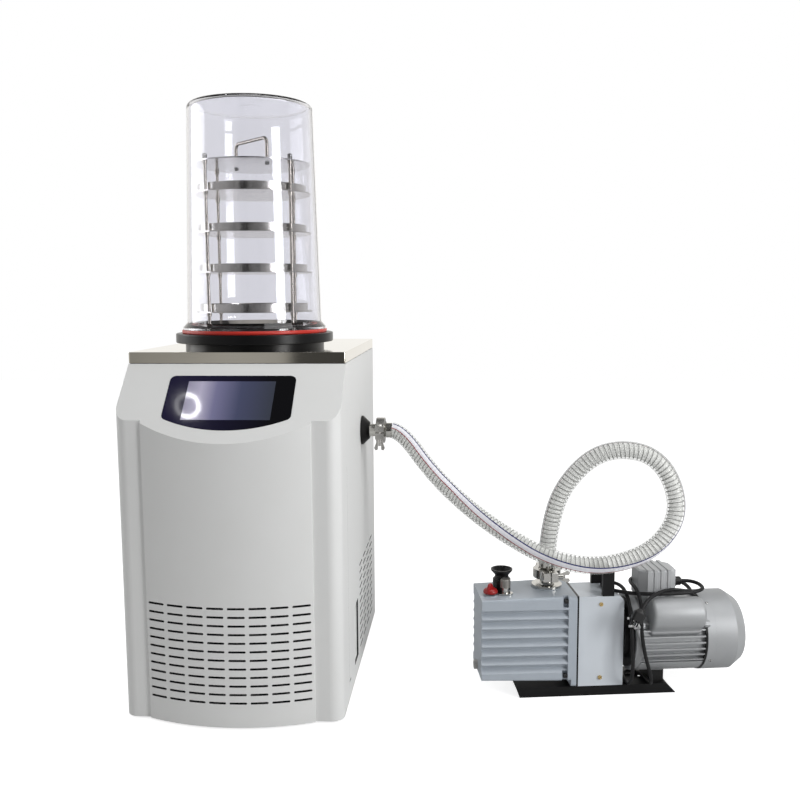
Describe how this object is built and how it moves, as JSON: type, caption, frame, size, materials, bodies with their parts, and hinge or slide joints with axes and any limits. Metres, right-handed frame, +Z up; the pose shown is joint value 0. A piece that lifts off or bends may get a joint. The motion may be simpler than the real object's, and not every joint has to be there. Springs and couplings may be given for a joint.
{
  "type": "freeze dryer",
  "caption": "Benchtop freeze dryer: cabinet with slanted touch screen, clear bell jar over a tray rack, and a rotary-vane vacuum pump joined by a clear hose.",
  "frame": {"origin": "on the floor, under the middle of the whole set's box without its cord nodes", "axes": "+X to the right as seen from the front, from the cabinet to the pump; +Y to the back; +Z up"},
  "size_m": [1.1459, 0.648, 1.1257],
  "materials": {
    "black_plastic": "black moulded plastic",
    "black_ring": "matt black",
    "black_rubber": "matt black rubber",
    "black_steel": "black paint on steel",
    "board": "circuit board and display module",
    "box_grey": "grey moulded plastic",
    "brass": "brass",
    "cast_clamp": "cast aluminium clamp",
    "cast_iron": "machined casting",
    "chrome": "bright nickel or chrome plate",
    "clear_acrylic": "clear cast acrylic",
    "compressor_black": "black enamel",
    "copper": "copper tube",
    "fins": "fin block",
    "foam": "insulating foam",
    "frame_steel": "grey powder coat",
    "grey_sheet": "light grey enamel on sheet steel",
    "hose_pvc": "clear wire-wound PVC hose",
    "lavender_cast": "grey enamel on cast aluminium",
    "red_plastic": "red moulded plastic",
    "red_rubber": "red silicone rubber",
    "screen_glass": "dark glass, backed",
    "silver_paint": "silver enamel",
    "stainless": "polished stainless steel",
    "steel": "turned steel",
    "white_paint": "satin white powder coat"
  },
  "bodies": {
    "base": {"bell_jar": "clear_acrylic", "cable_gland": "black_plastic", "capacitor_cover": "silver_paint", "carry_handle": "black_plastic", "centring_rings": "stainless", "chamber_ring": "black_ring", "chamber_seal": "red_rubber", "chassis": "frame_steel", "cold_trap_pot": "stainless", "compressor": "compressor_black", "condenser": "fins", "control_boards": "board", "coupling_housing": "black_steel", "cover_screws": "brass", "drain_valve": "brass", "end_shields": "black_steel", "exhaust_port": "black_plastic", "fan_cowl": "silver_paint", "fan_motor": "steel", "feet": "black_rubber", "flange_clamps": "cast_clamp", "front_panel": "white_paint", "hose_adaptors": "stainless", "housing_cover": "grey_sheet", "intake_port": "chrome", "left_panel": "white_paint", "motor_body": "silver_paint", "oil_box": "lavender_cast", "oil_box_screws": "black_steel", "port_bush": "black_rubber", "port_tube": "stainless", "power_cord": "black_rubber", "power_inlet": "black_plastic", "power_plug": "black_plastic", "pump_block": "lavender_cast", "pump_rails": "black_steel", "rack_fasteners": "stainless", "rack_handle": "stainless", "rack_rods": "stainless", "rack_shelves": "stainless", "rack_top_plate": "stainless", "rear_panel": "white_paint", "refrigerant_pipes": "copper", "right_panel": "white_paint", "screen_glass": "screen_glass", "terminal_box": "box_grey", "top_plate": "stainless", "trap_insulation": "foam", "trays": "stainless", "vacuum_hose": "hose_pvc"},
    "shaft": {"pump_rotor": "cast_iron", "motor_rotor": "steel", "motor_fan": "black_plastic"},
    "condenser_fan": {"condenser_fan": "black_plastic"},
    "filler_cap": {"filler_cap": "red_plastic"},
    "ballast_knob": {"ballast_knob": "chrome"},
    "drain_lever": {"drain_lever": "red_plastic"},
    "power_rocker": {"power_rocker": "red_plastic"},
    "port_wing_nut": {"port_wing_nut": "chrome"},
    "intake_wing_nut": {"intake_wing_nut": "chrome"}
  },
  "joints": [
    {"name": "pump_shaft_spin", "type": "hinge", "parent": "base", "child": "shaft", "pos_m": [0.1386, -0.12172, 0.11], "axis": [0.9901, 0.1404, 0], "continuous": true},
    {"name": "condenser_fan_spin", "type": "hinge", "parent": "base", "child": "condenser_fan", "pos_m": [-0.375, -0.207, 0.1095], "axis": [0, 1, 0], "continuous": true},
    {"name": "filler_cap_turn", "type": "hinge", "parent": "base", "child": "filler_cap", "pos_m": [0.08823, -0.15108, 0.205], "axis": [0, 0, 1], "range_deg": [-180, 180]},
    {"name": "ballast_knob_turn", "type": "hinge", "parent": "base", "child": "ballast_knob", "pos_m": [0.11623, -0.14913, 0.215], "axis": [0, 0, 1], "range_deg": [-180, 180]},
    {"name": "drain_lever_turn", "type": "hinge", "parent": "base", "child": "drain_lever", "pos_m": [-0.265, 0.29, 0.083], "axis": [0, 0, 1], "range_deg": [0, 90]},
    {"name": "power_rocker_tilt", "type": "hinge", "parent": "base", "child": "power_rocker", "pos_m": [-0.495, 0.273, 0.104], "axis": [1, 0, 0], "range_deg": [-20, 0]},
    {"name": "port_wing_nut_turn", "type": "hinge", "parent": "base", "child": "port_wing_nut", "pos_m": [-0.135, 0.006, 0.4677], "axis": [0, 0, -1], "range_deg": [-180, 180]},
    {"name": "intake_wing_nut_turn", "type": "hinge", "parent": "base", "child": "intake_wing_nut", "pos_m": [0.21668, -0.12883, 0.227], "axis": [0.9901, 0.1404, 0], "range_deg": [-180, 180]}
  ]
}
